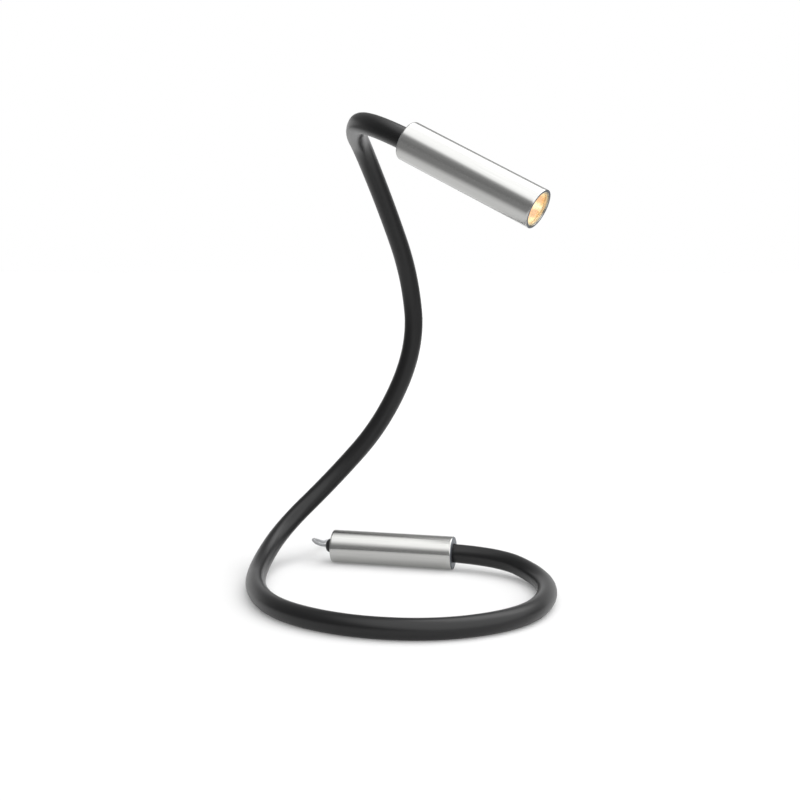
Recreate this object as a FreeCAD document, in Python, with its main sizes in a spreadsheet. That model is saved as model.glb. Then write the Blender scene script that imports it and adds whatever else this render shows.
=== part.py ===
# LED table lamp. A rubber-sheathed gooseneck lies coiled on the table as its own foot, rises as the
# neck and carries a tubular aluminium head. Its other end runs into a weighted aluminium housing with
# the LED driver, where the supply cord enters. Millimetres, +Z up, +X to the lamp's right, +Y to its back.
import FreeCAD, Part
import math
import os
import Sketcher

Vector = FreeCAD.Vector

# Driving sizes, in millimetres, degrees and counts
SIZES = {
    "hose_diameter": 18.0,
    "hose_bore": 12.4,
    "core_diameter": 12.0,
    "core_bore": 7.0,
    "rest_flat": 0.5,
    "barrel_diameter": 32.0,
    "barrel_length": 125.0,
    "housing_length": 121.0,
    "barrel_wall": 2.0,
    "end_wall": 4.0,
    "edge_round": 1.5,
    "fit_clearance": 0.15,
    "ferrule_depth": 12.0,
    "ferrule_lip": 2.5,
    "lead_diameter": 4.0,
    "lead_clearance": 0.4,
    "lead_lap": 8.0,
    "solder_lap": 4.0,
    "grub_diameter": 4.0,
    "grub_tip_gap": 1.2,
    "grub_sunk": 0.3,
    "grub_socket": 2.0,
    "rim_recess": 1.0,
    "lens_ring_thickness": 1.5,
    "lens_ring_width": 1.2,
    "lens_thickness": 1.5,
    "reflector_length": 26.0,
    "reflector_wall": 0.8,
    "throat_diameter": 10.0,
    "emitter_diameter": 8.0,
    "emitter_height": 1.6,
    "emitter_round": 0.8,
    "board_edge": 1.85,
    "board_thickness": 1.6,
    "pad_thickness": 0.5,
    "sink_disc": 9.0,
    "sink_hub": 10.0,
    "fin_length": 20.0,
    "fin_thickness": 1.6,
    "fin_count": 12,
    "wiring_room": 11.5,
    "tray_margin": 2.0,
    "tray_drop": 4.0,
    "driver_length": 44.0,
    "driver_width": 20.0,
    "driver_thickness": 1.6,
    "inductor_diameter": 10.0,
    "inductor_height": 7.0,
    "capacitor_diameter": 8.0,
    "capacitor_length": 12.0,
    "chip_length": 6.0,
    "chip_width": 5.0,
    "chip_height": 1.6,
    "cap_thickness": 5.0,
    "gland_diameter": 14.0,
    "gland_proud": 8.0,
    "gland_round": 5.2,
    "gland_neck": 8.0,
    "gland_flange": 11.0,
    "gland_flange_thickness": 2.0,
    "cord_diameter": 3.0,
    "loop_gap": 0.6,
    "loop_inner": 16.0,
    "loop_layers": 2,
    "turns_per_layer": 5.25,
    "tie_width": 6.0,
    "tie_thickness": 0.4,
    "tie_gap": 0.1,
    "tie_clearance": 0.6,
    "switch_length": 38.0,
    "switch_width": 16.0,
    "switch_height": 9.0,
    "switch_wall": 1.5,
    "switch_end_wall": 3.0,
    "switch_round": 4.0,
    "slider_length": 8.0,
    "slider_width": 4.5,
    "slider_proud": 1.6,
    "slider_foot": 3.0,
    "slider_foot_thickness": 1.4,
    "slider_travel": 5.0,
    "slider_clearance": 0.3,
    "contact_length": 12.0,
    "contact_width": 2.0,
    "contact_thickness": 0.5,
    "contact_spacing": 6.0,
    "plug_diameter": 9.5,
    "plug_length": 24.0,
    "plug_taper": 9.0,
    "plug_tail_diameter": 6.0,
    "plug_pin_diameter": 5.5,
    "plug_pin_length": 9.5,
    "plug_pin_wall": 0.6,
    "plug_pin_seat": 6.0,
    "plug_socket": 2.1,
    "plug_turn": 60.0,
    "housing_turn": 14.4,
    "head_turn": 28.0,
    "head_drop": 26.7,
    "housing_run": 43.0,
    "head_run": 45.0,
}

doc = FreeCAD.newDocument("FlexibleLamp")
sheet = doc.addObject("Spreadsheet::Sheet", "Sizes")
for row, (name, value) in enumerate(SIZES.items(), start=1):
    sheet.set(f"A{row}", name)
    sheet.set(f"B{row}", str(value))
    sheet.setAlias(f"B{row}", name)
doc.recompute()


class Size:
    """A length that carries both its number and the sheet formula behind it."""

    def __init__(self, number, formula):
        self.number = number
        self.formula = formula

    def combined(self, sign, other, number):
        formula = other.formula if isinstance(other, Size) else str(other)
        return Size(number, f"({self.formula} {sign} {formula})")

    def __add__(self, other):
        return self.combined("+", other, self.number + number_of(other))

    def __sub__(self, other):
        return self.combined("-", other, self.number - number_of(other))

    def __mul__(self, other):
        return self.combined("*", other, self.number * number_of(other))

    def __truediv__(self, other):
        return self.combined("/", other, self.number / number_of(other))


def number_of(value):
    """The plain number of a Size or of a number."""
    return value.number if isinstance(value, Size) else float(value)


def size(name):
    """A cell of the sheet, by its alias."""
    return Size(float(sheet.get(name)), f"Sizes.{name}")


# Working sizes that several pieces share
hose_radius = size("hose_diameter") / 2
core_radius = size("core_diameter") / 2
barrel_radius = size("barrel_diameter") / 2
barrel_length = size("barrel_length")
housing_length = size("housing_length")
barrel_inside = barrel_radius - size("barrel_wall")
slip_radius = barrel_inside - size("fit_clearance")
hose_hole = hose_radius + size("fit_clearance")
hose_grip = size("end_wall") + size("ferrule_depth")
ferrule_end = hose_grip + size("ferrule_lip")
lead_radius = size("lead_diameter") / 2
lead_hole = lead_radius + size("lead_clearance")
cord_radius = size("cord_diameter") / 2
nodes = {}


def number(name):
    """The number in a cell of the sheet."""
    return size(name).number


def keep(label, piece, frame=None):
    """Names a finished piece and stands it in its frame."""
    piece.Label = label
    if frame is not None:
        piece.Placement = frame
    nodes[label] = piece
    return piece


def solid_feature(label, shape):
    """A piece whose shape is made directly, such as a swept hose."""
    piece = doc.addObject("Part::Feature", label)
    piece.Shape = shape
    return keep(label, piece, FreeCAD.Placement())


# Sketched and turned pieces
def sketch_on(body, role):
    """A new sketch on one of the body's own origin planes."""
    plane = next(p for p in body.Origin.OriginFeatures if p.Role == role)
    sketch = body.newObject("Sketcher::SketchObject", f"{body.Name}_sketch")
    sketch.AttachmentSupport = [(plane, "")]
    sketch.MapMode = "FlatFace"
    return sketch


def pin_point(sketch, line, across, up):
    """Ties a line's first point to the sheet, or to an axis where a coordinate is 0."""
    for kind, axis, place in (("DistanceX", -2, across), ("DistanceY", -1, up)):
        if number_of(place) == 0:
            sketch.addConstraint(Sketcher.Constraint("PointOnObject", line, 1, axis))
            continue
        index = sketch.addConstraint(Sketcher.Constraint(kind, -1, 1, line, 1, number_of(place)))
        sketch.setExpression(f"Constraints[{index}]", place.formula)


def closed_outline(sketch, points):
    """A closed outline of straight lines through points given as pairs of sizes."""
    corners = [Vector(number_of(across), number_of(up), 0) for across, up in points]
    count = len(corners)
    for i in range(count):
        sketch.addGeometry(Part.LineSegment(corners[i], corners[(i + 1) % count]))
    for i in range(count):
        sketch.addConstraint(Sketcher.Constraint("Coincident", i, 2, (i + 1) % count, 1))
    for i, (across, up) in enumerate(points):
        pin_point(sketch, i, across, up)


def turned(label, frame, outline):
    """A piece turned about its own X axis from pairs of distance along the axis and radius."""
    body = doc.addObject("PartDesign::Body", label)
    sketch = sketch_on(body, "XZ_Plane")
    closed_outline(sketch, outline)
    turning = body.newObject("PartDesign::Revolution", f"{label}_turning")
    turning.Profile = sketch
    turning.ReferenceAxis = (sketch, ["H_Axis"])
    turning.Angle = 360
    doc.recompute()
    return keep(label, body, frame)


def rim_edge(shape, along, radius):
    """The name of the round edge at a distance along the X axis."""
    for i, edge in enumerate(shape.Edges, start=1):
        box = edge.BoundBox
        flat = abs(box.XMin - along) < 1e-3 and abs(box.XMax - along) < 1e-3
        if flat and abs(box.ZMax - radius) < 1e-3:
            return f"Edge{i}"
    raise ValueError(f"no round edge at {along}")


def round_rim(body, along, radius, rounding):
    """Rounds a turned piece's outer edge."""
    base = body.Tip
    edge = rim_edge(base.Shape, number_of(along), number_of(radius))
    fillet = body.newObject("PartDesign::Fillet", f"{body.Name}_round")
    fillet.Base = (base, [edge])
    fillet.setExpression("Radius", rounding.formula)
    doc.recompute()


def drill_side(body, along, radius, side):
    """Drills through the wall on one side only, +1 for the piece's own +Y and -1 for its -Y."""
    before = body.Shape.Volume
    sketch = sketch_on(body, "XZ_Plane")
    circle = sketch.addGeometry(Part.Circle(Vector(along.number, 0, 0), Vector(0, 0, 1), radius.number))
    sketch.addConstraint(Sketcher.Constraint("PointOnObject", circle, 3, -1))
    place = sketch.addConstraint(Sketcher.Constraint("DistanceX", -1, 1, circle, 3, along.number))
    sketch.setExpression(f"Constraints[{place}]", along.formula)
    width = sketch.addConstraint(Sketcher.Constraint("Radius", circle, radius.number))
    sketch.setExpression(f"Constraints[{width}]", radius.formula)
    hole = body.newObject("PartDesign::Pocket", f"{body.Name}_hole")
    hole.Profile = sketch
    hole.Type = "ThroughAll"
    hole.Reversed = side < 0
    doc.recompute()
    if not body.Shape.Volume < before - 1:
        raise ValueError(f"the hole in {body.Label} cuts nothing")


# Blocks, rods and cuts
def primitive(kind, label, place=None, **sizes):
    """A Part primitive whose sizes are bound to the sheet."""
    piece = doc.addObject(kind, label)
    for prop, value in sizes.items():
        piece.setExpression(prop, value.formula)
    if place is not None:
        piece.Placement = place
    return piece


def at(x=0.0, y=0.0, z=0.0, axis=None, angle=0.0):
    """A placement by offsets, and a turn about an axis."""
    turn = FreeCAD.Rotation(axis or Vector(0, 0, 1), angle)
    return FreeCAD.Placement(Vector(number_of(x), number_of(y), number_of(z)), turn)


def along_x(x, y=0.0, z=0.0):
    """A placement that lays a cylinder along the X axis."""
    return at(x, y, z, Vector(0, 1, 0), 90)


def cut(label, base, tool):
    """One solid cut from another."""
    piece = doc.addObject("Part::Cut", label)
    piece.Base = base
    piece.Tool = tool
    doc.recompute()
    return piece


def bunch(label, solids, frame):
    """Identical fasteners kept as one node of separate solids."""
    piece = doc.addObject("Part::Compound", label)
    piece.Links = solids
    doc.recompute()
    return keep(label, piece, frame)


def frame_along(origin, x_axis):
    """A frame at a point, with X along a direction and Z as near to upright as that allows."""
    side = Vector(0, 0, 1).cross(x_axis)
    side.normalize()
    turn = FreeCAD.Rotation(x_axis, side, x_axis.cross(side), "XYZ")
    return FreeCAD.Placement(origin, turn)


# Where the housing and the head stand
housing_angle = math.radians(number("housing_turn"))
housing_axis = Vector(-math.cos(housing_angle), math.sin(housing_angle), 0)
housing_end = Vector(53.5, 78, barrel_radius.number)
housing_frame = frame_along(housing_end, housing_axis)

head_angle = math.radians(number("head_turn"))
head_fall = math.radians(number("head_drop"))
head_axis = Vector(
    math.cos(head_fall) * math.cos(head_angle),
    -math.cos(head_fall) * math.sin(head_angle),
    -math.sin(head_fall),
)
head_back = Vector(7.5, -88, 391)
head_frame = frame_along(head_back, head_axis)


# The hose's route, from the housing round the foot and up the neck to the head
floor_height = hose_radius.number - number("rest_flat")
FOOT_POINTS = [
    (131, 18), (131, -48), (103, -109), (36, -143),
    (-38, -134), (-99, -91), (-127, -28), (-133, 53),
]
NECK_POINTS = [
    (-116, 120, 31), (-67, 145, 76), (-15, 145, 135), (18, 147, 212),
    (11, 140, 283), (-11, 109, 346), (-33, 65, 400), (-38.5, 14, 408.5),
]
route = [housing_end + housing_axis * hose_grip.number]
route.append(housing_end - housing_axis * number("housing_run"))
route += [Vector(x, y, floor_height) for x, y in FOOT_POINTS]
route += [Vector(*point) for point in NECK_POINTS]
route.append(head_back - head_axis * number("head_run"))
route.append(head_back + head_axis * hose_grip.number)

# An arc reaches this share of the shorter run to each side of its corner
ARC_SHARE = 0.45


def towards(start, end):
    """The unit direction from one point to another."""
    direction = end - start
    direction.normalize()
    return direction


def corner_arc(start, corner, end):
    """The arc that touches both legs of a corner, and its radius. The legs are equally long."""
    chord_middle = (start + end) * 0.5
    leg = (corner - start).Length
    depth = (corner - chord_middle).Length
    half_turn = math.asin(depth / leg)
    radius = leg / math.tan(half_turn)
    inset = radius * (1 / math.cos(half_turn) - 1)
    middle = corner + (chord_middle - corner) * (inset / depth)
    return Part.Arc(start, middle, end), radius


def reaches_of(points):
    """How far each inner corner's arc reaches along its runs."""
    runs = [(b - a).Length for a, b in zip(points, points[1:])]
    return [0] + [ARC_SHARE * min(pair) for pair in zip(runs, runs[1:])] + [0]


def rounded_wire(points, reaches, first, last):
    """Straight runs and tangent arcs through corners first to last, cut at the middle of the outer runs."""
    start = (points[first - 1] + points[first]) * 0.5 if first > 1 else points[0]
    end = (points[last] + points[last + 1]) * 0.5 if last < len(points) - 2 else points[-1]
    edges = []
    radii = []
    for i in range(first, last + 1):
        arc_start = points[i] + towards(points[i], points[i - 1]) * reaches[i]
        arc_end = points[i] + towards(points[i], points[i + 1]) * reaches[i]
        arc, radius = corner_arc(arc_start, points[i], arc_end)
        edges += [Part.LineSegment(start, arc_start).toShape(), arc.toShape()]
        radii.append(radius)
        start = arc_end
    edges.append(Part.LineSegment(start, end).toShape())
    return Part.Wire(edges), radii


def rod_along(wire, radius):
    """A round rod along a wire of lines and arcs, with its volume compared with section times length."""
    first = wire.OrderedEdges[0]
    start = first.valueAt(first.FirstParameter)
    ring = Part.Wire(Part.makeCircle(radius, start, first.tangentAt(first.FirstParameter)))
    rod = wire.makePipeShell([ring], True, False)
    expected = math.pi * radius**2 * wire.Length
    if abs(rod.Volume / expected - 1) > 0.002:
        raise ValueError(f"a rod of {rod.Volume:.0f} cubic mm should have {expected:.0f}")
    return rod


def above_floor(shape):
    """A hose that lies on the table is pressed flat there."""
    box = shape.BoundBox
    if box.ZMin > 0:
        return shape
    depth = 2 * hose_radius.number
    floor = Part.makeBox(box.XLength, box.YLength, depth, Vector(box.XMin, box.YMin, -depth))
    return shape.cut(floor)


# The rubber sheath, in stretches that bend at a joint and stretches that keep their shape between them
SHEATH_STRETCHES = [
    ("coil_rear", 1, 2), ("coil_bend", 3, 3), ("coil_front", 4, 8), ("swing_bend", 9, 9),
    ("neck_root", 10, 10), ("lean_bend", 11, 11), ("neck_lower", 12, 12), ("bow_bend", 13, 13),
    ("neck_upper", 14, 14), ("nod_bend", 15, 15), ("neck_crook", 16, 16), ("turn_bend", 17, 17),
    ("tilt_bend", 18, 18),
]
# The steel gooseneck inside it, one stretch for each body
CORE_STRETCHES = [
    ("coil_rear", 1, 2), ("coil_front", 3, 8), ("neck_root", 9, 10), ("neck_lower", 11, 12),
    ("neck_upper", 13, 14), ("neck_crook", 15, 16), ("turn_bend", 17, 17), ("tilt_bend", 18, 18),
]
hose_reaches = reaches_of(route)


def make_hose():
    """The sheath's and the core's stretches, each a tube along its part of the route."""
    bore = number("hose_bore") / 2
    for name, first, last in SHEATH_STRETCHES:
        wire, radii = rounded_wire(route, hose_reaches, first, last)
        tube = rod_along(wire, hose_radius.number).cut(rod_along(wire, bore))
        solid_feature(f"{name}_sheath", above_floor(tube))
        print(f"{name}: length {wire.Length:.0f}, radii", [round(radius) for radius in radii])
    for name, first, last in CORE_STRETCHES:
        wire, radii = rounded_wire(route, hose_reaches, first, last)
        tube = rod_along(wire, core_radius.number).cut(rod_along(wire, number("core_bore") / 2))
        solid_feature(f"{name}_core", tube)


# What the head and the housing have alike: barrel, ferrule and grub screws
def make_barrel(label, frame, length, holes, side):
    """An aluminium barrel closed at the neck end, with a hole for the hose and grub screws on one side."""
    wall = size("end_wall")
    outline = [
        (0, hose_hole), (0, barrel_radius), (length, barrel_radius),
        (length, barrel_inside), (wall, barrel_inside), (wall, hose_hole),
    ]
    body = turned(label, frame, outline)
    round_rim(body, 0, barrel_radius, size("edge_round"))
    for along in holes:
        drill_side(body, along, size("grub_diameter") / 2 + size("fit_clearance"), side)
    return body


def make_ferrule(label, frame, side):
    """A brass sleeve inside the end wall that grips the hose and stops its end."""
    wall = size("end_wall")
    outline = [
        (wall, hose_hole), (wall, slip_radius), (ferrule_end, slip_radius),
        (ferrule_end, lead_hole), (hose_grip, lead_hole), (hose_grip, hose_hole),
    ]
    body = turned(label, frame, outline)
    drill_side(body, ferrule_screw, size("grub_diameter") / 2 + size("fit_clearance"), side)
    return body


def make_grub_screws(label, frame, places, side):
    """Grub screws with a hexagon socket, sunk just below the barrel's surface."""
    screws = []
    outer = barrel_radius - size("grub_sunk")
    length = outer - hose_radius - size("grub_tip_gap")
    for i, along in enumerate(places, start=1):
        turn = at(along, outer * side, 0, Vector(1, 0, 0), 90 * side)
        rod = primitive("Part::Cylinder", f"{label}_rod{i}", turn,
                        Radius=size("grub_diameter") / 2, Height=length)
        socket = primitive("Part::Prism", f"{label}_socket{i}", turn,
                           Circumradius=size("grub_socket") / 2, Height=length / 2)
        screws.append(cut(f"{label}_screw{i}", rod, socket))
    bunch(label, screws, frame)


# Head, measured along its barrel from the neck end
ferrule_screw = size("end_wall") + size("ferrule_depth") / 2
ring_front = barrel_length - size("rim_recess")
lens_front = ring_front - size("lens_ring_thickness")
reflector_mouth = lens_front - size("lens_thickness")
board_front = reflector_mouth - size("reflector_length")
board_back = board_front - size("board_thickness")
sink_front = board_back - size("pad_thickness")
fin_front = sink_front - size("sink_disc")
fin_back = fin_front - size("fin_length")
sink_screw = sink_front - size("sink_disc") / 2
HEAD_FAR_SIDE = 1


def make_heat_sink():
    """An aluminium disc with a finned hub behind it, which carries the LED board."""
    hub = size("sink_hub") / 2
    outline = [
        (fin_back, lead_hole), (fin_back, hub), (fin_front, hub), (fin_front, slip_radius),
        (sink_front, slip_radius), (sink_front, lead_hole),
    ]
    body = turned("heat_sink", head_frame, outline)
    sketch = sketch_on(body, "XZ_Plane")
    low = hub - size("fin_thickness") / 2
    closed_outline(sketch, [(fin_back, low), (fin_back, slip_radius - size("fit_clearance")),
                            (fin_front, slip_radius - size("fit_clearance")), (fin_front, low)])
    fin = body.newObject("PartDesign::Pad", "heat_sink_fin")
    fin.Profile = sketch
    fin.setExpression("Length", size("fin_thickness").formula)
    fin.Midplane = True
    doc.recompute()
    fins = body.newObject("PartDesign::PolarPattern", "heat_sink_fins")
    fins.Originals = [fin]
    axis = next(a for a in body.Origin.OriginFeatures if a.Role == "X_Axis")
    fins.Axis = (axis, [""])
    fins.Angle = 360
    fins.setExpression("Occurrences", size("fin_count").formula)
    body.Tip = fins
    doc.recompute()
    drill_side(body, sink_screw, size("grub_diameter") / 2 + size("fit_clearance"), HEAD_FAR_SIDE)


# Where the reflector's wall swells out, as shares of its length and of its rise from throat to mouth
BULGE_PLACE = 0.4
BULGE_RISE = 0.62


def make_reflector():
    """A thin bowl from the LED to the lens, its inner and outer walls each one arc."""
    throat = number("throat_diameter") / 2
    wall = number("reflector_wall")
    mouth = slip_radius.number - wall
    start = board_front.number
    end = reflector_mouth.number
    bulge_along = start + BULGE_PLACE * (end - start)
    bulge = throat + BULGE_RISE * (mouth - throat)
    corners = [Vector(start, 0, throat), Vector(end, 0, mouth)]
    outer = [corner + Vector(0, 0, wall) for corner in corners]
    middle = Vector(bulge_along, 0, bulge)
    edges = [
        Part.Arc(corners[0], middle, corners[1]).toShape(),
        Part.LineSegment(corners[1], outer[1]).toShape(),
        Part.Arc(outer[1], middle + Vector(0, 0, wall), outer[0]).toShape(),
        Part.LineSegment(outer[0], corners[0]).toShape(),
    ]
    bowl = Part.Face(Part.Wire(edges)).revolve(Vector(0, 0, 0), Vector(1, 0, 0), 360)
    piece = doc.addObject("Part::Feature", "reflector")
    piece.Shape = bowl
    keep("reflector", piece, head_frame)


def make_head():
    """The lamp head, from its barrel to the lens at the mouth."""
    make_barrel("head_barrel", head_frame, barrel_length, [ferrule_screw, sink_screw], HEAD_FAR_SIDE)
    make_ferrule("head_ferrule", head_frame, HEAD_FAR_SIDE)
    make_grub_screws("head_grub_screws", head_frame, [ferrule_screw, sink_screw], HEAD_FAR_SIDE)
    make_heat_sink()
    board = slip_radius - size("board_edge")
    turned("thermal_pad", head_frame, [
        (sink_front, lead_hole), (sink_front, board), (board_back, board), (board_back, lead_hole)])
    turned("led_board", head_frame, [
        (board_back, 0), (board_back, board), (board_front, board), (board_front, 0)])
    emitter = size("emitter_diameter") / 2
    emitter_front = board_front + size("emitter_height")
    led = turned("led_emitter", head_frame, [
        (board_front, 0), (board_front, emitter), (emitter_front, emitter), (emitter_front, 0)])
    round_rim(led, emitter_front, emitter, size("emitter_round"))
    make_reflector()
    turned("front_lens", head_frame, [
        (reflector_mouth, 0), (reflector_mouth, slip_radius),
        (lens_front, slip_radius), (lens_front, 0)])
    ring_bore = slip_radius - size("lens_ring_width")
    turned("lens_ring", head_frame, [
        (lens_front, ring_bore), (lens_front, slip_radius),
        (ring_front, slip_radius), (ring_front, ring_bore)])
    lead_start = hose_grip - size("lead_lap")
    turned("head_lead", head_frame, [
        (lead_start, 0), (lead_start, lead_radius), (board_back, lead_radius), (board_back, 0)])


# Housing, measured along its barrel from the neck end
cap_inside = housing_length - size("cap_thickness")
gland_tip = housing_length + size("gland_proud")
cap_screw = housing_length - size("cap_thickness") / 2
tray_length = size("driver_length") + size("tray_margin") * 2
tray_start = cap_inside - size("wiring_room") - tray_length
driver_start = tray_start + size("tray_margin")
driver_end = driver_start + size("driver_length")
HOUSING_FAR_SIDE = -1


def make_driver():
    """The LED driver: a flat-topped tray in the barrel, the board on it and the parts on the board."""
    tray_rod = primitive("Part::Cylinder", "tray_rod", along_x(tray_start),
                         Radius=slip_radius, Height=tray_length)
    room = primitive("Part::Box", "tray_room", at(tray_start, slip_radius * -1, size("tray_drop") * -1),
                     Length=tray_length, Width=slip_radius * 2, Height=slip_radius * 2)
    keep("driver_tray", cut("driver_tray", tray_rod, room), housing_frame)

    board_bottom = size("tray_drop") * -1
    board_top = board_bottom + size("driver_thickness")
    place = at(driver_start, size("driver_width") / -2, board_bottom)
    board = primitive("Part::Box", "driver_board", None, Length=size("driver_length"),
                      Width=size("driver_width"), Height=size("driver_thickness"))
    keep("driver_board", board, housing_frame * place)

    inductor_radius = size("inductor_diameter") / 2
    inductor_middle = driver_start + size("solder_lap") + size("lead_clearance") + inductor_radius
    coil = primitive("Part::Cylinder", "driver_inductor", None,
                     Radius=inductor_radius, Height=size("inductor_height"))
    keep("driver_inductor", coil, housing_frame * at(inductor_middle, 0, board_top))
    can = primitive("Part::Cylinder", "driver_capacitor", None,
                    Radius=size("capacitor_diameter") / 2, Height=size("capacitor_length"))
    can_height = board_top + size("capacitor_diameter") / 2
    can_start = inductor_middle + inductor_radius + size("lead_clearance")
    keep("driver_capacitor", can, housing_frame * along_x(can_start, 0, can_height))
    chip = primitive("Part::Box", "driver_chip", None, Length=size("chip_length"),
                     Width=size("chip_width"), Height=size("chip_height"))
    chip_side = size("driver_width") / 2 - size("chip_width")
    keep("driver_chip", chip, housing_frame * at(can_start, chip_side, board_top))


def make_housing():
    """The weighted housing on the table, with the driver inside and the cord's gland in its cap."""
    make_barrel("housing_barrel", housing_frame, housing_length, [ferrule_screw, cap_screw], HOUSING_FAR_SIDE)
    make_ferrule("housing_ferrule", housing_frame, HOUSING_FAR_SIDE)
    make_grub_screws("housing_grub_screws", housing_frame, [ferrule_screw, cap_screw], HOUSING_FAR_SIDE)
    turned("counterweight", housing_frame, [
        (ferrule_end, lead_hole), (ferrule_end, slip_radius),
        (tray_start, slip_radius), (tray_start, lead_hole)])
    make_driver()
    lead_start = hose_grip - size("lead_lap")
    lead_end = driver_start + size("solder_lap")
    turned("housing_lead", housing_frame, [
        (lead_start, 0), (lead_start, lead_radius), (lead_end, lead_radius), (lead_end, 0)])
    neck = size("gland_neck") / 2
    neck_hole = neck + size("fit_clearance")
    cap = turned("cord_cap", housing_frame, [
        (cap_inside, neck_hole), (cap_inside, slip_radius),
        (housing_length, slip_radius), (housing_length, neck_hole)])
    drill_side(cap, cap_screw, size("grub_diameter") / 2 + size("fit_clearance"), HOUSING_FAR_SIDE)
    dome = size("gland_diameter") / 2
    flange = size("gland_flange") / 2
    flange_back = cap_inside - size("gland_flange_thickness")
    gland_bore = cord_radius + size("fit_clearance")
    gland = turned("cord_gland", housing_frame, [
        (flange_back, gland_bore), (flange_back, flange), (cap_inside, flange), (cap_inside, neck),
        (housing_length, neck), (housing_length, dome), (gland_tip, dome), (gland_tip, gland_bore)])
    round_rim(gland, gland_tip, dome, size("gland_round"))
    inlet_start = driver_end - size("solder_lap")
    turned("inlet_lead", housing_frame, [
        (inlet_start, 0), (inlet_start, cord_radius), (gland_tip, cord_radius), (gland_tip, 0)])


# Supply cord: out of the gland, round behind the housing, through the switch, a tied coil and the plug
loop_step = size("cord_diameter") + size("loop_gap")
loop_spread = loop_step * size("turns_per_layer")
coil_centre = Vector(8, 149, 0)
coil_outer = number("loop_inner") + loop_spread.number
coil_turns = number("loop_layers") * number("turns_per_layer")
coil_bottom = number("tie_thickness") + number("tie_gap") + cord_radius.number
CLIMB_TURN = 0.5
LEAST_OWN_GAP = 0.4
switch_middle = number("switch_height") / 2
switch_left = Vector(-60, coil_centre.y + coil_outer, switch_middle)
switch_right = switch_left + Vector(number("switch_length"), 0, 0)
plug_start = Vector(-36, 136, number("plug_diameter") / 2)
plug_angle = math.radians(number("plug_turn"))
plug_axis = Vector(-math.cos(plug_angle), math.sin(plug_angle), 0)
gland_exit = housing_end + housing_axis * gland_tip.number

# Points of the cord's free stretches, and the straight runs at their ends
SUPPLY_POINTS = [
    (-83, 116.5, 17.5), (-86, 125.5, 18), (-85.5, 136, 16), (-83, 146, 12.8),
    (-80, 156, 9.2), (-78, 165.5, 6.2), (-76, 175, 4.6),
]
LINK_POINTS = [(-8.5, 184.9, 3.2)]
PLUG_POINTS = [(-10.5, 115.3, 5.3), (-18.5, 118.6, 5), (-26, 123.3, 4.8)]
GLAND_RUN = 6
SWITCH_RUN_IN = 11
SWITCH_RUN_OUT = 6.5
COIL_RUN_IN = 6
COIL_RUN_OUT = 7
PLUG_RUN = 8


def smooth_step(share):
    """Rises from 0 to 1 with level ends."""
    share = min(max(share, 0.0), 1.0)
    return share * share * (3 - 2 * share)


def coil_point(turn):
    """A point of the coil. It spirals in and out by layers and climbs where the spiral reverses."""
    per_layer = number("turns_per_layer")
    phase = turn % (2 * per_layer)
    inward = phase if phase <= per_layer else 2 * per_layer - phase
    radius = coil_outer - loop_step.number * inward
    climbs = [
        smooth_step((turn - layer * per_layer) / CLIMB_TURN + 0.5)
        for layer in range(1, int(number("loop_layers")))
    ]
    height = coil_bottom + loop_step.number * sum(climbs)
    angle = math.pi / 2 - 2 * math.pi * turn
    return coil_centre + Vector(radius * math.cos(angle), radius * math.sin(angle), height)


def coil_direction(turn):
    """The coil's unit direction at a turn, level at its two ends."""
    step = 0.002
    return towards(coil_point(max(turn - step, 0)), coil_point(min(turn + step, coil_turns)))


def biarc(start, start_direction, end, end_direction):
    """Two arcs that join two points with given directions."""
    span = end - start
    both = start_direction + end_direction
    spread = 2 * (1 - start_direction.dot(end_direction))
    along = span.dot(both)
    leg = (math.sqrt(along**2 + spread * span.dot(span)) - along) / spread
    first_corner = start + start_direction * leg
    second_corner = end - end_direction * leg
    meeting = (first_corner + second_corner) * 0.5
    first, _ = corner_arc(start, first_corner, meeting)
    second, _ = corner_arc(meeting, second_corner, end)
    return [first.toShape(), second.toShape()]


def least_own_gap(wire, radius):
    """The least gap between parts of a wound rod that are more than half a turn apart along it."""
    step = 1.0
    points = wire.discretize(Distance=step)
    skip = int(math.pi * number("loop_inner") / step)
    least = min(
        (points[i] - points[j]).Length
        for i in range(0, len(points), 2)
        for j in range(i + skip, len(points), 2)
    )
    return least - 2 * radius


def make_coil():
    """The put-away cord as one unbroken tube of loops, on biarcs of about a quarter turn."""
    arcs_per_layer = math.ceil(4 * number("turns_per_layer"))
    arc_count = arcs_per_layer * int(number("loop_layers"))
    turns = [coil_turns * i / arc_count for i in range(arc_count + 1)]
    places = [(coil_point(turn), coil_direction(turn)) for turn in turns]
    first_point, first_direction = places[0]
    last_point, last_direction = places[-1]
    coil_in = first_point - first_direction * number("cord_diameter")
    coil_out = last_point + last_direction * number("cord_diameter")
    edges = [Part.LineSegment(coil_in, first_point).toShape()]
    for (start, start_direction), (end, end_direction) in zip(places, places[1:]):
        edges += biarc(start, start_direction, end, end_direction)
    edges.append(Part.LineSegment(last_point, coil_out).toShape())
    wire = Part.Wire(edges)
    solid_feature("cord_coil", rod_along(wire, cord_radius.number))
    gap = least_own_gap(wire, cord_radius.number)
    print(f"cord coil: length {wire.Length:.0f}, turns {coil_turns:.1f}, least gap {gap:.2f}")
    if gap < LEAST_OWN_GAP:
        raise ValueError("the coil's turns touch")
    return coil_in, first_direction, coil_out, last_direction


def make_cord_stretch(label, points):
    """A free stretch of cord through hand-set points."""
    wire, radii = rounded_wire(points, reaches_of(points), 1, len(points) - 2)
    solid_feature(label, rod_along(wire, cord_radius.number))
    print(f"{label}: length {wire.Length:.0f}, radii", [round(radius) for radius in radii])


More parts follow.
